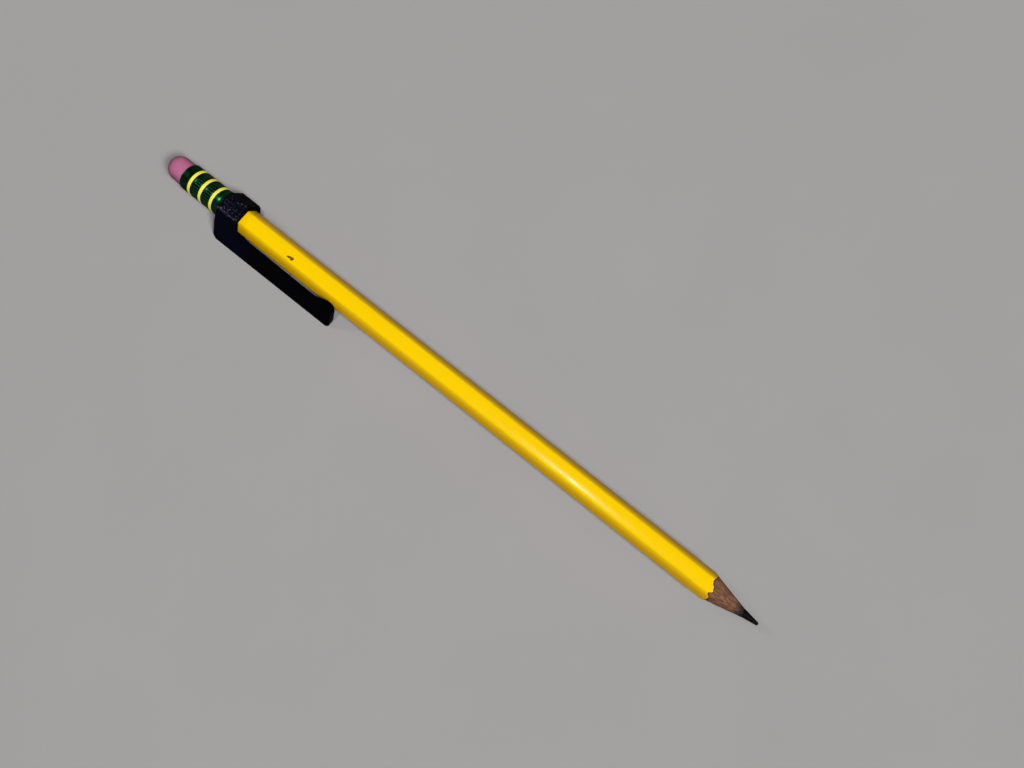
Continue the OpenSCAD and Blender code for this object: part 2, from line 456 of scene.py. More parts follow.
class Graph:
    """A material's nodes, with short calls for noise, ramps, mixes and bumps in millimetre space."""

    def __init__(self, name):
        self.material = bpy.data.materials.new(name)
        self.material.use_nodes = True
        self.nodes = self.material.node_tree.nodes
        self.links = self.material.node_tree.links
        self.shader = self.nodes["Principled BSDF"]
        place = self.nodes.new("ShaderNodeTexCoord")
        scale = self.nodes.new("ShaderNodeVectorMath")
        scale.operation = "SCALE"
        scale.inputs["Scale"].default_value = 1 / MM
        self.links.new(place.outputs["Object"], scale.inputs[0])
        self.place = scale.outputs[0]

    def feed(self, socket, value):
        """Links an output to a socket, or sets the socket's constant."""
        if isinstance(value, bpy.types.NodeSocket):
            self.links.new(value, socket)
        else:
            socket.default_value = value

    def set_inputs(self, node, **values):
        """Feeds a node's inputs, named with underscores for spaces."""
        for name, value in values.items():
            self.feed(node.inputs[name.replace("_", " ")], value)
        return node

    def stretched(self, scale):
        """The surface point with its X scaled; less than 1 draws a texture out along the pencil."""
        node = self.nodes.new("ShaderNodeVectorMath")
        node.operation = "MULTIPLY"
        node.inputs[1].default_value = (scale, 1, 1)
        self.links.new(self.place, node.inputs[0])
        return node.outputs[0]

    def noise(self, size, detail=4.0, rough=0.55, stretch=1.0):
        """Fractal noise from 0 to 1 with features of about the given size in millimetres."""
        node = self.nodes.new("ShaderNodeTexNoise")
        self.set_inputs(node, Scale=1 / size, Detail=detail, Roughness=rough)
        return self.set_inputs(node, Vector=self.stretched(stretch)).outputs["Fac"]

    def cells(self, size, stretch=1.0):
        """Distance to the nearest cell point, for specks and pores."""
        node = self.nodes.new("ShaderNodeTexVoronoi")
        self.set_inputs(node, Scale=1 / size, Vector=self.stretched(stretch))
        return node.outputs["Distance"]

    def axis(self, name):
        """One coordinate of the surface point, in millimetres."""
        node = self.nodes.new("ShaderNodeSeparateXYZ")
        self.links.new(self.place, node.inputs[0])
        return node.outputs[name]

    def normal_z(self):
        """Upward part of the surface normal."""
        geometry = self.nodes.new("ShaderNodeNewGeometry")
        node = self.nodes.new("ShaderNodeSeparateXYZ")
        self.links.new(geometry.outputs["Normal"], node.inputs[0])
        return node.outputs["Z"]

    def value(self, name):
        """A number stored on the mesh's vertices."""
        node = self.nodes.new("ShaderNodeAttribute")
        node.attribute_name = name
        return node.outputs["Fac"]

    def math(self, operation, a, b=0.0):
        """One of Blender's math operations on outputs or numbers."""
        node = self.nodes.new("ShaderNodeMath")
        node.operation = operation
        self.feed(node.inputs[0], a)
        self.feed(node.inputs[1], b)
        return node.outputs[0]

    def times(self, a, b):
        """Product, as for a mask at part of its strength."""
        return self.math("MULTIPLY", a, b)

    def plus(self, a, b):
        """Sum."""
        return self.math("ADD", a, b)

    def minus(self, a, b):
        """Difference."""
        return self.math("SUBTRACT", a, b)

    def span(self, value, low, high, to=(0.0, 1.0)):
        """Maps low..high smoothly onto the two numbers of to, and holds it outside."""
        node = self.nodes.new("ShaderNodeMapRange")
        node.interpolation_type = "SMOOTHSTEP"
        self.set_inputs(node, Value=value, From_Min=low, From_Max=high, To_Min=to[0], To_Max=to[1])
        return node.outputs["Result"]

    def height_span(self, start, end):
        """Zero to one between two heights over the pencil's axis."""
        return self.span(self.axis("Z"), AXIS_Z + start, AXIS_Z + end)

    def mix(self, share, a, b):
        """Colour a where share is 0 and colour b where it is 1."""
        node = self.nodes.new("ShaderNodeMix")
        node.data_type = "RGBA"
        self.feed(node.inputs["Factor"], share)
        for socket, colour in zip(colour_sockets(node.inputs), (a, b)):
            self.feed(socket, colour if isinstance(colour, bpy.types.NodeSocket) else (*colour, 1.0))
        return colour_sockets(node.outputs)[0]

    def bump(self, height, depth, below=None):
        """Normal for a height field whose full range is the given depth in millimetres."""
        node = self.nodes.new("ShaderNodeBump")
        self.set_inputs(node, Strength=1.0, Distance=depth * MM, Height=height)
        if below is not None:
            self.links.new(below, node.inputs["Normal"])
        return node.outputs["Normal"]

    def finish(self, colour, rough, normal=None, **values):
        """Feeds the shader's colour, roughness, normal and other inputs, and gives the material back."""
        self.set_inputs(self.shader, Base_Color=colour, Roughness=rough, **values)
        if normal is not None:
            self.links.new(normal, self.shader.inputs["Normal"])
        return self.material


# Materials


def lacquer_material():
    """Glossy yellow paint, clouded, with painted shade on the side facets, worn at corners, with a chip and
    a cut edge darkened partly by painted shade.
    """
    g = Graph("yellow_lacquer")
    cloud = g.noise(9.0, rough=0.6, stretch=0.25)
    colour = g.mix(cloud, LACQUER_DEEP, LACQUER_LIGHT)
    # Painted shade: the side facets below the top are deeper
    below_top = g.height_span(*LACQUER_SIDE_FADE)
    colour = g.mix(g.times(below_top, 0.85), colour, LACQUER_SIDE_SHADE)
    # Painted shade: the +Y side deeper still
    far_side = g.span(g.axis("Y"), *LACQUER_FAR_FADE)
    colour = g.mix(g.times(far_side, 0.5), colour, LACQUER_FAR_SIDE_SHADE)
    patches = g.noise(1.6, rough=0.65, stretch=0.3)
    worn = g.times(g.value("corner"), g.span(patches, 0.42, 0.75))
    colour = g.mix(g.times(worn, 0.35), colour, LACQUER_WORN)
    specks = g.span(g.cells(1.7), 0.045, 0.02)
    specks = g.times(specks, g.span(g.noise(6.0, detail=2), 0.5, 0.62))
    colour = g.mix(g.times(specks, 0.5), colour, LACQUER_SPECK)
    chip = chip_mask(g)
    colour = g.mix(chip, colour, LACQUER_CHIP)
    # The paint's cut lip darkens, partly its own cut colour and partly painted shade
    colour = g.mix(g.value("cut_edge_and_shade"), colour, LACQUER_CUT_AND_SHADE)
    rough = g.span(g.noise(2.5, detail=5, rough=0.6), 0.25, 0.8, to=(0.14, 0.24))
    peel = g.noise(0.55, detail=2, rough=0.5, stretch=0.6)
    waves = g.noise(3.2, detail=2, rough=0.5, stretch=0.35)
    normal = g.bump(waves, depth=0.015)
    normal = g.bump(peel, depth=0.002, below=normal)
    normal = g.bump(g.times(chip, -1.0), depth=CHIP_DEPTH, below=normal)
    return g.finish(colour, rough, normal, Specular_IOR_Level=0.082)


def chip_mask(g):
    """One where the small chip in the top facet is: a ragged stroke that widens at one end."""
    wobble = g.times(g.minus(g.noise(0.3, detail=3), 0.5), CHIP_WOBBLE)
    mask = 0.0
    for (x, y), turn, half_length, half_width in CHIP_LOBES:
        dx = g.minus(g.axis("X"), x)
        dy = g.minus(g.axis("Y"), y)
        c = math.cos(math.radians(turn))
        s = math.sin(math.radians(turn))
        along = g.plus(g.times(dx, c / half_length), g.times(dy, s / half_length))
        across = g.minus(g.times(dy, c / half_width), g.times(dx, s / half_width))
        square = g.plus(g.times(along, along), g.times(across, across))
        mask = g.math("MAXIMUM", mask, g.span(g.plus(square, wobble), 1.15, 0.8))
    above = g.math("GREATER_THAN", g.axis("Z"), AXIS_Z)
    return g.times(mask, above)


def wood_material():
    """Bare reddish wood with long grain, pores, graphite rubbed in near the lead, and a painted shadow in
    front of the paint's lip.
    """
    g = Graph("bare_wood")
    streak = g.noise(0.42, detail=5, rough=0.6, stretch=0.06)
    fine = g.noise(0.16, detail=3, rough=0.6, stretch=0.05)
    colour = g.mix(g.span(streak, 0.32, 0.7), WOOD_DEEP, WOOD_LIGHT)
    colour = g.mix(g.span(fine, 0.55, 0.75, to=(0.0, 0.45)), colour, WOOD_FINE)
    pores = g.span(g.cells(0.5, stretch=0.12), 0.16, 0.06)
    colour = g.mix(g.times(pores, 0.55), colour, WOOD_PORE)
    reach = g.plus(g.axis("X"), g.times(g.noise(1.1, rough=0.6), SMUDGE_WOBBLE))
    smudge = g.span(reach, LEAD_X - SMUDGE_BEHIND, LEAD_X + SMUDGE_AHEAD)
    colour = g.mix(smudge, colour, WOOD_SMUDGE)
    # Painted shadow on the wood just in front of the paint's lip
    colour = g.mix(g.value("lip_shadow"), colour, WOOD_LIP_SHADOW)
    normal = g.bump(streak, depth=0.03)
    normal = g.bump(fine, depth=0.015, below=normal)
    rough = g.span(smudge, 0.0, 1.0, to=(0.72, 0.5))
    return g.finish(colour, rough, normal, Specular_IOR_Level=0.06)


def graphite_material():
    """Dark graphite with fine marks along the lead and a dull sheen."""
    g = Graph("graphite")
    lines = g.noise(0.22, rough=0.65, stretch=0.12)
    colour = g.mix(lines, GRAPHITE_DEEP, GRAPHITE_LIGHT)
    rough = g.span(g.noise(0.5, detail=3), 0.3, 0.7, to=(0.34, 0.55))
    return g.finish(colour, rough, g.bump(lines, depth=0.012), Specular_IOR_Level=0.025)


def ferrule_material():
    """Dark green lacquered aluminium: satin metal under a thin clear gloss, rubbed at a few high spots,
    with painted highlights on the flute ridges and the front bead and painted shade in the flute valleys.
    """
    g = Graph("green_ferrule")
    cloud = g.noise(1.6, rough=0.6)
    colour = g.mix(cloud, GREEN_DEEP, GREEN_LIGHT)
    rub = g.times(g.value("crest"), g.span(g.noise(0.7, rough=0.7), 0.62, 0.8))
    colour = g.mix(g.times(rub, 0.3), colour, GREEN_RUBBED)
    flank = g.value("valley")
    # Painted highlight on the flute ridges
    ridge_highlight = g.times(g.span(flank, 0.3, 0.05), g.value("fluted"))
    colour = g.mix(ridge_highlight, colour, GREEN_RIDGE_HIGHLIGHT)
    # Painted shade in the flute valleys
    colour = g.mix(g.span(flank, 0.45, 0.8), colour, GREEN_VALLEY_SHADE)
    # Painted highlight on the top of the front bead, fading towards the sides
    lit_top = g.times(g.value("front_bead_highlight"), g.height_span(*BEAD_LIT_FADE))
    colour = g.mix(g.times(lit_top, 0.7), colour, GREEN_BEAD_HIGHLIGHT)
    rough = g.span(g.noise(0.8), 0.3, 0.75, to=(0.3, 0.4))
    normal = g.bump(g.noise(0.3, detail=3), depth=0.004)
    return g.finish(colour, rough, normal, Metallic=1.0, Specular_Tint=GREEN_GLOSS,
                    Coat_Weight=0.15, Coat_Roughness=0.18)


def band_material():
    """Lemon paint ring with slightly uneven cover."""
    g = Graph("band_paint")
    cover = g.noise(0.6, rough=0.6)
    colour = g.mix(cover, LEMON_DEEP, LEMON_LIGHT)
    worn = g.span(g.noise(0.35, rough=0.7), 0.68, 0.78)
    colour = g.mix(g.times(worn, 0.55), colour, LEMON_WORN)
    rough = g.span(cover, 0.2, 0.8, to=(0.26, 0.42))
    return g.finish(colour, rough, g.bump(g.noise(0.2, detail=2), depth=0.006))


def eraser_material():
    """Matte pink rubber with fine grain, small pits, grey rubbed-in smudges, and painted shade towards the
    end and on the sides.
    """
    g = Graph("pink_rubber")
    cloud = g.noise(2.2, detail=5, rough=0.6)
    colour = g.mix(cloud, PINK_DEEP, PINK_LIGHT)
    grain = g.noise(0.14, detail=3, rough=0.6)
    colour = g.mix(g.span(grain, 0.5, 0.8, to=(0.0, 0.3)), colour, PINK_GRAIN)
    # Painted shade towards the end; the same end mask also places the real smudges
    near_end = g.span(g.axis("X"), ERASER_LOW[0] + ERASER_END_LENGTH, ERASER_LOW[0])
    colour = g.mix(g.times(near_end, 0.5), colour, PINK_END_SHADE)
    # Painted shade on the sides below the top
    below_top = g.height_span(*ERASER_SIDE_FADE)
    colour = g.mix(g.times(below_top, 0.75), colour, PINK_SIDE_SHADE)
    smudge = g.times(near_end, g.span(g.noise(0.9, detail=5, rough=0.65), 0.47, 0.72))
    colour = g.mix(g.times(smudge, 0.5), colour, PINK_SMUDGE)
    pits = g.span(g.cells(0.55), 0.2, 0.08)
    normal = g.bump(g.minus(grain, pits), depth=0.03)
    rough = g.span(cloud, 0.2, 0.8, to=(0.78, 0.92))
    return g.finish(colour, rough, normal, Specular_IOR_Level=0.15)


def clip_material():
    """Black printed plastic: satin layered sides, scuffs, painted glints and a painted lighter tone on the
    coarse top, a painted bluish reflection near the collar, and painted highlights on the rims.
    """
    g = Graph("clip_plastic")
    top = g.span(g.normal_z(), 0.9, 0.98)
    cloud = g.noise(3.0, rough=0.6)
    colour = g.mix(cloud, BLACK_DEEP, BLACK_LIGHT)
    # Painted reflection: a bluish sheen on the sloped side near the collar
    near_collar = g.span(g.axis("X"), COLLAR_HIGH[0] + NEAR_COLLAR_LENGTH, COLLAR_HIGH[0])
    near_collar = g.times(near_collar, g.span(g.axis("Y"), *NEAR_COLLAR_FADE))
    colour = g.mix(near_collar, colour, BLACK_NEAR_COLLAR_REFLECTION)
    # Painted light: upward faces a little lighter
    colour = g.mix(g.times(top, 0.8), colour, BLACK_TOP_LIT)
    grit = g.noise(0.52, rough=0.7)
    # Painted glints on the coarse top, which also gets more gloss there
    sparks = g.times(top, g.span(grit, 0.54, 0.7))
    sparks = g.times(sparks, g.span(g.axis("Y"), *SPARK_FADE, to=(0.45, 1.0)))
    colour = g.mix(g.times(sparks, 0.9), colour, BLACK_SPARK_GLINT)
    scuffs = g.span(g.noise(0.5, detail=5, rough=0.7, stretch=0.25), 0.66, 0.76)
    colour = g.mix(g.times(scuffs, 0.25), colour, BLACK_SCUFF)
    # Painted highlight along the collar's edge over the slope and round the arm's free end
    rim_highlight = g.times(g.value("rim_highlight"), g.span(g.noise(0.4, rough=0.75), 0.53, 0.63))
    colour = g.mix(g.times(rim_highlight, 0.9), colour, BLACK_RIM_HIGHLIGHT)
    side_rough = g.span(g.noise(1.2), 0.3, 0.7, to=(0.4, 0.52))
    rough = g.minus(side_rough, g.times(sparks, 0.12))
    rows = g.math("SINE", g.times(g.axis("Z"), 2 * math.pi / LAYER))
    normal = g.bump(g.times(rows, g.minus(1.0, top)), depth=0.004)
    normal = g.bump(g.times(grit, top), depth=0.16, below=normal)
    normal = g.bump(g.noise(0.12, detail=2), depth=0.004, below=normal)
    gloss = g.plus(0.008, g.times(sparks, 0.7))
    return g.finish(colour, rough, normal, Specular_IOR_Level=gloss)


def seen_directly(nodes, links):
    """One for rays from the camera, from gloss and through glass, and zero for light that bounces."""
    path = nodes.new("ShaderNodeLightPath")
    total = path.outputs["Is Camera Ray"]
    for name in ("Is Glossy Ray", "Is Transmission Ray"):
        larger = nodes.new("ShaderNodeMath")
        larger.operation = "MAXIMUM"
        links.new(total, larger.inputs[0])
        links.new(path.outputs[name], larger.inputs[1])
        total = larger.outputs[0]
    return total


def floor_material():
    """Plain pale matte surface that throws little light back onto the pencil."""
    g = Graph("pale_floor")
    pale = g.mix(g.noise(40.0, detail=3), FLOOR_DEEP, FLOOR_LIGHT)
    colour = g.mix(seen_directly(g.nodes, g.links), FLOOR_BOUNCE, pale)
    return g.finish(colour, 0.85, Specular_IOR_Level=0.1)


# Pencil


def facet_radius(offset, flat_r):
    """Distance from the axis to a crowned facet, at an angle from the facet's own normal."""
    reach = (FACET_CROWN_R - flat_r) * math.cos(offset)
    return -reach + math.sqrt(reach * reach + FACET_CROWN_R ** 2 - (FACET_CROWN_R - flat_r) ** 2)


def barrel_radius(angle, flat_r):
    """Outline of the barrel: six slightly crowned facets that run into each other at soft corners."""
    offset = from_facet(angle)
    near = facet_radius(offset, flat_r)
    next_one = facet_radius(SIXTH - abs(offset), flat_r)
    return near - math.log1p(math.exp(-CORNER_SOFTNESS * (next_one - near))) / CORNER_SOFTNESS


def barrel_angles():
    """Angles round the barrel, closer together at the six corners."""
    return [math.radians(90 + 60 * k + o) for k in range(6) for o in FACET_DEGREES]


def corner_share(angle):
    """One at a corner of the barrel and zero on a facet."""
    offset = (angle - math.pi / 2) % SIXTH
    return max(0.0, 1 - abs(offset - SIXTH / 2) / CORNER_HALF)


def cut_shift(angle):
    """How far forward the sharpener's off-centre, slightly oval cut lies, round the point."""
    turn = angle - math.pi
    return CUT_MEAN + CUT_OFFSET * math.cos(turn) + CUT_OVAL * math.cos(2 * turn)


def cone_shift(angle):
    """How far forward the wood's cone and the lead's taper start, round the point."""
    return CONE_SHARE * cut_shift(angle)


def coat_end(angle):
    """Where the sharpener cut the paint off, round the barrel: a ragged tongue on every facet."""
    offset = from_facet(angle)
    facet = round((angle - math.pi / 2 - offset) / SIXTH)
    lean = math.radians(TONGUE_LEAN * math.cos(2.3 * facet))
    fall = np.clip((abs(math.degrees(offset - lean)) - TONGUE_HALF) / TONGUE_FALL, 0, 1)
    depth = TONGUE_DEPTH * (1 - TONGUE_VARY + TONGUE_VARY * math.cos(2.1 * facet))
    tongue = depth * (1 - fall * fall * (3 - 2 * fall))
    ragged = sum(size * math.sin(count * angle + phase) for size, count, phase in RAGGED_WAVES)
    return NOTCH_X + tongue + ragged + cut_shift(angle)


def coat_point(x, angle, depth):
    """Point on the paint's faintly wavy surface, or at a depth below it."""
    wave = COAT_WAVE * smooth_noise(x * 0.12, math.cos(angle), math.sin(angle), 0.6) - COAT_WAVE
    return on_axis(x, barrel_radius(angle, FLAT_R) + wave - depth, angle)


def make_lacquer():
    """Paint film on the barrel, with a rounded lip along its cut front edge."""
    angles = barrel_angles()
    ends = [coat_end(a) for a in angles]
    count = len(angles)
    start = COAT_LOW[0]
    settle = COAT_HIGH[0] - SETTLE_LENGTH
    rows = [([x] * count, 0.0, 0.0) for x in np.linspace(start, settle, COAT_STATIONS)]
    rows += [([settle + share * (end - settle) for end in ends], 0.0, 0.0) for share in SETTLE_SHARES]
    rows += [([end - back for end in ends], depth, dark) for back, depth, dark in LIP_ROWS]
    rows += [([x] * count, COAT_T, 0.0) for x in (settle, start)]
    rings = [[coat_point(x, a, depth) for x, a in zip(places, angles)] for places, depth, dark in rows]
    obj = piece("lacquer_skin", tube_loft(rings), lacquer_material(), sharp=35)
    point_values(obj, "corner", [corner_share(a) for a in angles] * len(rings))
    # Share of the cut colour and painted lip shade at each point
    point_values(obj, "cut_edge_and_shade", np.repeat([dark for places, depth, dark in rows], count))
    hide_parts("lacquer_coat")
    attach(obj, "pencil")


def wood_radius(x, angle):
    """Outer radius of the wood at a place: barrel up to the paint's edge, then the shaved cone."""
    barrel = barrel_radius(angle, FLAT_R - COAT_T) - SLAT_GAP
    cone = LEAD_R + (LEAD_X + cone_shift(angle) - x) * POINT_SLOPE
    past_edge = x - coat_end(angle)
    if past_edge < 0:
        return barrel
    marks = smooth_noise(x * 0.25, 2 * math.cos(angle), 2 * math.sin(angle), 0.5)
    shaving = SHAVING_DEPTH * marks - SHAVING_INSET
    step = max(0.0, 1 - past_edge / LIP_STEP_LENGTH) * LIP_STEP
    return min(barrel, max(cone + shaving + step, LEAD_R + THIN_WOOD))


def lip_shade(x, angle):
    """Share of the painted lip shadow: one on the wood right in front of the paint's edge, fading to zero
    over a short way.
    """
    past_edge = x - coat_end(angle)
    return max(0.0, 1 - abs(past_edge - LIP_SHADE_AT) / LIP_SHADE_LENGTH)


def make_slat(side):
    """One half of the wood: a half-round groove for the lead, the barrel and half of the cone."""
    name = "upper" if side > 0 else "lower"
    tenon_x, shoulder_x = WOOD_LOW[0], COAT_LOW[0]
    cone_x = NOTCH_X - 0.6
    dense_end, end = cone_x + 3.2, LEAD_X - 0.25
    stations = [tenon_x, shoulder_x - 0.01, shoulder_x]
    stations += list(np.linspace(shoulder_x + 1, cone_x - 0.5, 8))
    stations += list(np.linspace(cone_x, dense_end, 42))
    stations += list(np.linspace(dense_end + 0.2, end, 36))
    outer = np.linspace(0, math.pi, SLAT_POINTS)
    if side < 0:
        outer = outer + math.pi
    rings, shade = [], []
    for station in stations:
        ring = []
        stretch = max(0.0, (station - dense_end) / (end - dense_end))
        for angle in outer:
            x = station + stretch * cone_shift(angle)
            r = min(wood_radius(x, angle), PLUG_R) if x < shoulder_x else wood_radius(x, angle)
            ring.append(on_axis(x, r, angle))
            shade.append(lip_shade(x, angle))
        for angle in outer[::-1]:
            ring.append(on_axis(station + stretch * cone_shift(angle), LEAD_R + GROOVE_GAP, angle))
            shade.append(0.0)
        rings.append(ring)
    obj = piece("shaved_slat_" + name, half_shell(rings), wood_material(), sharp=40)
    # Share of the painted lip shadow at each point
    point_values(obj, "lip_shadow", shade)
    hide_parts("wood_slat_" + name)
    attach(obj, "pencil")


def taper_radius(x, start):
    """Radius of a lead whose taper starts at the given place."""
    share = np.clip((x - start) / (TAPER_END_X - start), 0, 1)
    return LEAD_R + share * (TIP_R - LEAD_R)


def worn_lead(x, r, angle):
    """Change of the lead's radius: an off-centre taper, a flat worn into one side and small lumps."""
    near = max(0.0, (x - LEAD_X) / (TIP_X - LEAD_X))
    off_centre = taper_radius(x, LEAD_X + cone_shift(angle)) - taper_radius(x, LEAD_X)
    flat = -WORN_FLAT * near ** 3 * max(0.0, math.cos(angle + WORN_TURN)) * min(1.0, r / TIP_R)
    lumps = smooth_noise(x * 0.4, 3 * math.cos(angle), 3 * math.sin(angle), 0.7)
    return off_centre + flat + (WORN_LUMPS * lumps - WORN_INSET) * near


def make_graphite():
    """Lead: a long rod that tapers to a worn, rounded tip."""
    profile = [(x, LEAD_R) for x in (CORE_LOW[0], LEAD_X - 3, LEAD_X - 0.4, LEAD_X - 0.2)]
    profile += [(x, taper_radius(x, LEAD_X)) for x in np.linspace(LEAD_X, TAPER_END_X, 18)]
    profile += arc(TAPER_END_X, 0.0, TIP_R, 84, 6, 10)
    rings = revolve(profile, LEAD_POINTS, worn_lead)
    obj = piece("graphite_point", loft(rings), graphite_material(), sharp=40)
    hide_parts("graphite_core")
    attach(obj, "pencil")


def bead(x, length, height, base):
    """(x, r) points over a rolled bead: a rounded rise, a crown and a straight front flank."""
    fall = height / GLINT_FLANK
    rise = length - fall
    rows = []
    for t in np.linspace(0.03, 1, 11):
        rows.append((x + rise * t, base + height * math.sin(math.pi / 2 * t) ** 0.6))
    for t in (0.06, 0.3, 0.6, 0.94):
        rows.append((x + rise + fall * t, base + height * (1 - t)))
    return rows


def rear_zone():
    """(x, r) points over the ferrule's plain rear zone, from its rounded lip to a crisp edge."""
    start = SLEEVE_LOW[0]
    end = start + END_ZONE
    rows = [(start + STEP, BORE_R + STEP)]
    rows += arc(start + LIP_R, SLEEVE_R - 0.2, LIP_R, 180, 100, 6)
    plain = (*np.linspace(start + 0.3, end - 0.12, 8), end - 0.09)
    rows += [(x, SLEEVE_R - STEP) for x in plain]
    return rows + [(end - 0.07, RELIEF_R + 0.01), (end + STEP, RELIEF_R)]


def fluted_zone(start, end):
    """(x, r) points over one bead and the flutes in front of it, between two bands."""
    crest = start + ZONE_BEAD
    rows = [(start - STEP, RELIEF_R)]
    rows += bead(start, ZONE_BEAD, SLEEVE_RELIEF, RELIEF_R)
    rows += [(crest + RAMP, RELIEF_R + RAMP)]
    rows += [(x, SLEEVE_R - 0.015) for x in np.linspace(crest + 0.1, end - 0.14, 9)]
    rows += [(end - RAMP, RELIEF_R + RAMP)]
    return rows + [(end + STEP, RELIEF_R)]


def front_zone():
    """(x, r) points over the ferrule's front zone: one bead that falls to a narrower plain end."""
    end = SLEEVE_HIGH[0]
    end_r = SLEEVE_R - FRONT_BEAD_DROP
    length = FRONT_BEAD_RISE + FRONT_BEAD_DROP / GLINT_FLANK
    rows = [(end - END_ZONE - STEP, RELIEF_R), (FRONT_BEAD_X - STEP, end_r)]
    rows += bead(FRONT_BEAD_X, length, FRONT_BEAD_DROP, end_r)
    rows += [(x, end_r) for x in np.linspace(FRONT_BEAD_X + length + 0.05, end - 0.05, 5)]
    return rows + [(end, end_r - 0.04), (end, BORE_R)]


def sleeve_profile():
    """(x, r) points round the ferrule's wall, and the two stretches of it that have flutes."""
    middle = (SLEEVE_LOW[0] + SLEEVE_HIGH[0]) / 2
    pitch = cad_box("ferrule_band_front")[0][0] - cad_box("ferrule_band_middle")[0][0]
    rows = rear_zone()
    stretches = []
    for start in (middle - pitch + BAND_EDGE, middle + BAND_EDGE):
        end = start + pitch - 2 * BAND_EDGE
        stretches.append((start + ZONE_BEAD + 0.06, end - 0.12))
        rows += fluted_zone(start, end)
    rows += front_zone()
    rows += [(SLEEVE_HIGH[0] - BORE_INSET, BORE_R), (SLEEVE_LOW[0] + BORE_INSET, BORE_R)]
    return rows, stretches


def make_ferrule():
    """Green sleeve with rolled beads and two fluted zones."""
    profile, stretches = sleeve_profile()
    segments = FLUTES * FLUTE_POINTS
    angles = round_angles(segments)

    def fluted(x):
        return any(a < x < b for a, b in stretches)

    def flute(x, r, angle):
        return -FLUTE_DEPTH * (0.5 - 0.5 * math.cos(FLUTES * angle)) if fluted(x) else 0.0

    def bead_highlight_share(x):
        return max(0.0, 1 - (x - FRONT_BEAD_X) / FRONT_BEAD_HIGHLIGHT_FADE) if x > FRONT_BEAD_X else 0.0

    shell = tube_loft(revolve(profile, segments, flute))
    obj = piece("ferrule_sleeve", shell, ferrule_material(), sharp=60)
    crest = [float(r > SLEEVE_R - 0.03) for x, r in profile]
    point_values(obj, "crest", np.repeat(crest, segments))
    # Depth in a flute, for the painted valley shade and ridge highlight
    point_values(obj, "valley", [-flute(x, r, a) / FLUTE_DEPTH for x, r in profile for a in angles])
    point_values(obj, "fluted", np.repeat([float(fluted(x)) for x, r in profile], segments))
    # Share of the painted highlight, fading forward from the front bead
    point_values(obj, "front_bead_highlight", np.repeat([bead_highlight_share(x) for x, r in profile], segments))
    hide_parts("ferrule")
    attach(obj, "pencil")


def make_band(name, material):
    """Painted ring with soft shoulders and a faint line round its middle."""
    low, high = cad_box("ferrule_band_" + name)
    outer = (high[1] - low[1]) / 2
    inner = RELIEF_R - BAND_SEAT
    centre, half = (low[0] + high[0]) / 2, (high[0] - low[0]) / 2
    rows = [(centre - half, inner)]
    for t in np.linspace(-1, 1, 19):
        shoulder = (1 - abs(t) ** 6) ** 0.5
        height = (outer - inner) * (BAND_EDGE_SHARE + (1 - BAND_EDGE_SHARE) * shoulder)
        line = BAND_LINE_DEPTH * math.exp(-((t / BAND_LINE_HALF) ** 2))
        rows.append((centre + t * half, inner + height - line))
    rows.append((centre + half, inner))

    def uneven(x, r, angle):
        return BAND_UNEVEN * (math.sin(BAND_WAVES * angle + centre) - 1) if r > inner else 0.0

    shell = tube_loft(revolve(rows, BAND_POINTS, uneven))
    obj = piece("band_ring_" + name, shell, material, sharp=60)
    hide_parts("ferrule_band_" + name)
    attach(obj, "pencil")


def make_eraser():
    """Rubber plug with a worn round end that leans a little to one side."""
    x0, x1 = ERASER_LOW[0], ERASER_HIGH[0]
    seat = SLEEVE_LOW[0]
    round_x = x0 + ERASER_ROUND
    rows = [(x0 + 0.005, 0.25)]
    rows += arc(round_x, ERASER_R - ERASER_ROUND, ERASER_ROUND, 180, 90, 26)
    rows += [(x, ERASER_R) for x in np.linspace(round_x + 0.25, seat - 0.12, 12)]
    rows += [(seat - SEAT_EDGE, ERASER_R - SEAT_EDGE), (seat + 0.02, PLUG_FIT_R)]
    rows += [(x1 - PLUG_CHAMFER, PLUG_FIT_R), (x1, PLUG_R - PLUG_CHAMFER)]

    def rubbed(x, r, angle):
        if x > seat - 0.05:
            return 0.0
        near = max(0.0, (seat - x) / (seat - x0))
        y, z = r * math.cos(angle), r * math.sin(angle)
        lumps = ERASER_LUMPS * smooth_noise(x, y, z, 1.5)
        grain = ERASER_GRAIN * smooth_noise(x + 9, y, z, 0.4)
        lean = ERASER_LEAN * near * math.cos(angle) * min(1.0, r / 2)
        return (lumps + grain) * near + lean

    shell = loft(revolve(rows, ERASER_POINTS, rubbed))
    obj = piece("eraser_plug", shell, eraser_material(), sharp=60)
    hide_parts("eraser")
    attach(obj, "pencil")


# Clip


def rounded_outline(corners, radii, counts):
    """Points and outward normals round a convex outline of (y, z) corners that run anticlockwise.
    Each corner has its own radius, and counts gives the points along the edge after each corner."""
    n = len(corners)
    corners = [np.array(c, float) for c in corners]
    edges = [corners[(i + 1) % n] - corners[i] for i in range(n)]
    edges = [e / np.linalg.norm(e) for e in edges]
    turns = [math.acos(np.clip(edges[i - 1] @ edges[i], -1, 1)) for i in range(n)]
    reach = [radii[i] * math.tan(turns[i] / 2) for i in range(n)]
    points, normals = [], []
    for i in range(n):
        along, ahead = edges[i - 1], edges[i]
        before = np.array([along[1], -along[0]])
        after = np.array([ahead[1], -ahead[0]])
        centre = corners[i] - along * reach[i] - before * radii[i]
        for t in np.linspace(0, turns[i], CORNER_POINTS):
            normal = before * math.cos(t) + along * math.sin(t)
            points.append(centre + normal * radii[i])
            normals.append(normal)
        p = corners[i] + ahead * reach[i]
        q = corners[(i + 1) % n] - ahead * reach[(i + 1) % n]
        for t in np.linspace(0, 1, counts[i] + 2)[1:-1]:
            points.append(p + t * (q - p))
            normals.append(after)
    return np.array(points), np.array(normals)


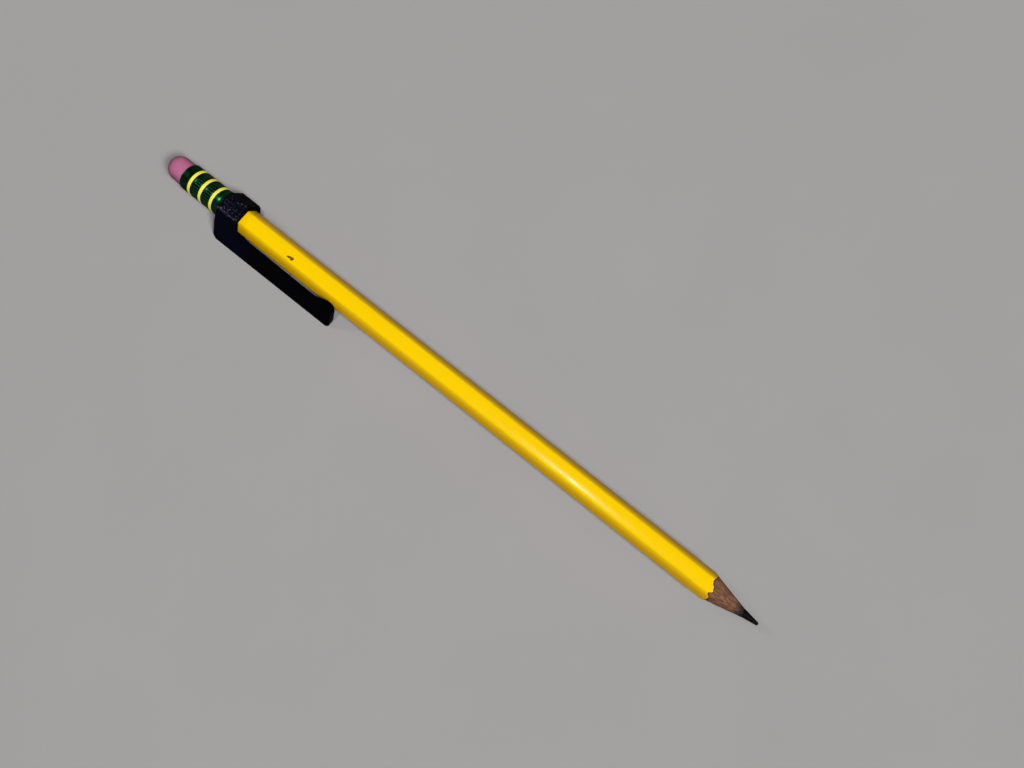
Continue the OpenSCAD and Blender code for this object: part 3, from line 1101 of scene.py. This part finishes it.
def layered(points, normals):
    """Draws the steep sides in between the printed layers."""
    valley = 1 - np.abs(np.sin(math.pi * points[:, 1] / LAYER))
    steep = np.clip((0.95 - np.abs(normals[:, 1])) * 10, 0, 1)
    return points - normals * (LAYER_DEPTH * valley * steep)[:, None]


def end_inset(distance, radius):
    """How far an edge of the given rounding draws in, at a distance from the end face."""
    if distance >= radius:
        return 0.0
    return radius - math.sqrt(max(0.0, radius ** 2 - (radius - distance) ** 2))


def drawn_back(values, low, high):
    """Values held in a range, but for a trace of what passes it, so that no two points fall together."""
    inside = np.clip(values, low, high)
    return inside + TRACE * (values - inside)


def slope_y(z):
    """Place of the clip's sloped face at a height above the floor."""
    return COLLAR_LOW[1] + z * SLOPE


def coarse_top(x, y):
    """Depth of the coarse texture on the collar's top, at most zero."""
    grain = smooth_noise(x, y, 0.0, TOP_GRAIN_SIZE)
    grain += TOP_FINE_SHARE * smooth_noise(x, y, 5.0, TOP_GRAIN_SIZE / 2)
    return TOP_GRAIN_DEPTH * (grain - 1 - TOP_FINE_SHARE) / 2


def bore_point(y, z):
    """Point of the hexagonal bore straight inwards from a point of the collar's outline."""
    angle = math.atan2(z - AXIS_Z, y)
    r = BORE_FLAT_R / math.cos(from_facet(angle))
    return r * math.cos(angle), AXIS_Z + r * math.sin(angle)


def rear_reach(x, y):
    """How far the collar's sloped side reaches back past its rear end, at a place near that end."""
    out = np.clip((REAR_REACH_Y - y) / REAR_REACH_RUN, 0, 1)
    near = np.clip(1 - (x - COLLAR_LOW[0]) / REAR_REACH_LENGTH, 0, 1)
    return REAR_REACH * out * near


def collar_shell():
    """Collar: a hexagonal sleeve filled out to the sloped face on one side."""
    x0, x1 = COLLAR_LOW[0], COLLAR_HIGH[0]
    top, right, flat_y = COLLAR_HIGH[2], COLLAR_HIGH[1], AXIS_Z * HEX_SLOPE
    corners = [(flat_y, 0), (right, AXIS_Z), (flat_y, top), (slope_y(top), top), (slope_y(0), 0)]
    outline, normals = rounded_outline(corners, COLLAR_EDGES, COLLAR_COUNTS)
    outside = layered(outline, normals)
    bore = [bore_point(y, z) for y, z in outline]
    stations = [x0 + d for d in COLLAR_END_STEPS]
    stations += list(np.arange(x0 + 3 * COLLAR_STEP, x1 - 0.3, COLLAR_STEP))
    stations += [x1 - d for d in COLLAR_END_STEPS[::-1]]
    rings = []
    for x in stations:
        ring = outside - normals * end_inset(min(x - x0, x1 - x), COLLAR_END_ROUND)
        left_limit = slope_y(0) + end_inset(x - x0, REAR_ROUND)
        right_limit = right - end_inset(x1 - x, COLLAR_PLAN_ROUND)
        ring[:, 0] = drawn_back(ring[:, 0], left_limit, right_limit)
        lift = [coarse_top(x, p[0]) if m[1] > 0.99 else 0.0 for p, m in zip(ring, normals)]
        ring[:, 1] = np.clip(ring[:, 1] + np.array(lift), 0, top)
        rings.append([(x - rear_reach(x, y), y, z) for y, z in ring])
    for x in (x1, x1 - BORE_EDGE, x0 + BORE_EDGE, x0):
        rings.append([(x, y, z) for y, z in bore])
    return tube_loft(rings)


def bump_share(x):
    """How much of the bump stands at a place along the arm: an eased ramp, then its full height."""
    t = np.clip((x - BUMP_START) / (BUMP_FULL - BUMP_START), 0, 1)
    return 0.5 * t + 0.5 * t * t * (3 - 2 * t)


def arm_inner_face(x):
    """Plan view of the arm's inner face: thick root, fillet, slightly splayed stretch and bump."""
    root_x = COLLAR_HIGH[0] + ROOT_LENGTH
    plain = ARM_INNER_Y - ARM_SPLAY * (x - SPLAY_X)
    rise = GRIP_Y - ARM_INNER_Y
    run = math.sqrt(ROOT_FILLET ** 2 - (ROOT_FILLET - rise) ** 2)
    if x < root_x:
        return GRIP_Y
    if x < root_x + run:
        fillet = ROOT_FILLET - math.sqrt(ROOT_FILLET ** 2 - (root_x + run - x) ** 2)
        return min(GRIP_Y, plain + fillet)
    return plain + bump_share(x) * (BUMP_Y - plain)


def arm_stations():
    """Places of the arm's rings, closer together at its root and its end."""
    x0, x1 = COLLAR_HIGH[0] - ARM_OVERLAP, ARM_END_X
    stations = list(np.arange(x0, x0 + 8, 0.3)) + list(np.arange(x0 + 8, x1 - 7, 0.6))
    stations += list(np.arange(x1 - 6.8, x1 - 2.45, 0.25))
    return stations + [x1 - d for d in ARM_END_STEPS[::-1]]


def arm_shell():
    """Arm: a right-angled triangular bar with a root and a bump on its inner face, and a leaning end."""
    rings = []
    for x in arm_stations():
        to_end = ARM_END_X - x
        inner = arm_inner_face(x)
        lean = BUMP_LEAN * bump_share(x)
        foot = inner - lean - end_inset(to_end, FOOT_END_ROUND)
        crown = inner + lean - end_inset(to_end, CROWN_END_ROUND)
        corners = [(foot, 0), (crown, (crown - COLLAR_LOW[1]) / SLOPE), (slope_y(0), 0)]
        outline, normals = rounded_outline(corners, ARM_EDGES, ARM_COUNTS)
        ring = layered(outline, normals) - normals * end_inset(to_end, EDGE_ROUND)
        outer_limit = slope_y(0) + end_inset(to_end, OUTER_END_ROUND)
        ring[:, 0] = drawn_back(ring[:, 0], outer_limit, math.inf)
        ring[:, 1] = np.clip(ring[:, 1], 0, None)
        lean_out = END_LEAN * max(0.0, 1 - to_end / LEAN_LENGTH)
        rings.append([(x + lean_out * z, y, z) for y, z in ring])
    return loft(rings)


def rim_highlight_share(x, y, z):
    """Above zero where the rims get a painted highlight: the collar's edge over the slope, and the arm's
    free end.
    """
    top = COLLAR_HIGH[2]
    if x < COLLAR_HIGH[0]:
        return max(0.0, 1 - math.hypot(y - slope_y(top) - RIM_INSET, z - top) / RIM_REACH)
    from_end = ARM_END_X + END_LEAN * z - x
    on_slope = max(0.0, 1 - (y - slope_y(z)) / END_RIM_FADE)
    return END_RIM_SHARE * on_slope * max(0.0, 1 - abs(from_end - END_RIM_AT) / END_RIM_HALF)


def make_clip():
    """The whole clip as one printed piece: the collar and the arm in one mesh."""
    shell = joined(collar_shell(), arm_shell())
    obj = piece("pocket_clip", shell, clip_material(), sharp=60)
    # Share of the painted rim highlight at each point
    point_values(obj, "rim_highlight", [rim_highlight_share(*p) for p in shell[0]])
    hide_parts("clip_collar", "clip_arm")
    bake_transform(obj)


# Studio


def make_floor():
    """One large flat square just under the clip."""
    mesh = bpy.data.meshes.new("floor")
    signs = ((-1, -1), (1, -1), (1, 1), (-1, 1))
    corners = [(x * FLOOR_HALF, y * FLOOR_HALF, FLOOR_Z) for x, y in signs]
    mesh.from_pydata(corners, [], [(0, 1, 2, 3)])
    mesh.materials.append(floor_material())
    obj = bpy.data.objects.new("floor", mesh)
    bpy.context.scene.collection.objects.link(obj)


def lamp(name, kind, at, strength, **values):
    """A lamp of one of Blender's kinds at a place, shining straight down."""
    light = bpy.data.lights.new(name, kind)
    light.energy = strength
    for key, value in values.items():
        setattr(light, key, value)
    obj = bpy.data.objects.new(name, light)
    obj.location = at
    bpy.context.scene.collection.objects.link(obj)
    return obj


def far_lamp(name, direction, strength, width):
    """A broad soft lamp that shines on the middle of the scene from a direction."""
    obj = lamp(name, "SUN", SCENE_MIDDLE + direction, strength, angle=math.radians(width))
    obj.rotation_euler = (SCENE_MIDDLE - obj.location).to_track_quat("-Z", "Y").to_euler()


def make_lights():
    """Two broad soft lamps beyond the pencil's ends, out of the facets' mirror, and a small lamp above."""
    for row in FAR_LAMPS:
        far_lamp(*row)
    width, length = HIGH_LAMP_SIZE
    lamp("high_lamp", "AREA", HIGH_LAMP_AT, HIGH_LAMP_WATTS, shape="RECTANGLE", size=width, size_y=length)


def make_world():
    """Dim even light, with a pale horizon that fades upwards for the camera and for reflections."""
    world = bpy.data.worlds.new("studio")
    world.use_nodes = True
    nodes, links = world.node_tree.nodes, world.node_tree.links
    place = nodes.new("ShaderNodeTexCoord")
    height = nodes.new("ShaderNodeSeparateXYZ")
    links.new(place.outputs["Generated"], height.inputs[0])
    ramp = nodes.new("ShaderNodeValToRGB")
    low, high = ramp.color_ramp.elements
    low.position, low.color = HORIZON_HEIGHT, (*HORIZON, 1)
    high.position, high.color = ZENITH_HEIGHT, (*ZENITH, 1)
    links.new(height.outputs["Z"], ramp.inputs[0])
    mix = nodes.new("ShaderNodeMix")
    mix.data_type = "RGBA"
    links.new(seen_directly(nodes, links), mix.inputs["Factor"])
    ambient, seen = colour_sockets(mix.inputs)
    ambient.default_value = (*AMBIENT, 1)
    links.new(ramp.outputs["Color"], seen)
    background = nodes["Background"]
    links.new(colour_sockets(mix.outputs)[0], background.inputs["Color"])
    background.inputs["Strength"].default_value = 1.0
    bpy.context.scene.world = world


def make_camera():
    """Camera that looks down at the pencil as the photograph does."""
    data = bpy.data.cameras.new("camera")
    data.sensor_width = SENSOR_W
    data.lens = FOCAL_PX * SENSOR_W / IMAGE_W
    data.clip_start = CAMERA_NEAR
    obj = bpy.data.objects.new("camera", data)
    back = -CAMERA_FORWARD.normalized()
    right = CAMERA_UP.cross(back).normalized()
    up = back.cross(right)
    turn = Matrix((right, up, back)).transposed().to_4x4()
    obj.matrix_world = Matrix.Translation(CAMERA_AT) @ turn
    bpy.context.scene.collection.objects.link(obj)
    bpy.context.scene.camera = obj


make_camera()
make_lights()
make_world()
make_floor()
make_lacquer()
make_slat(1)
make_slat(-1)
make_graphite()
make_ferrule()
BAND_PAINT = band_material()
for place in ("rear", "middle", "front"):
    make_band(place, BAND_PAINT)
make_eraser()
make_clip()
bpy.context.scene.view_settings.view_transform = "Standard"
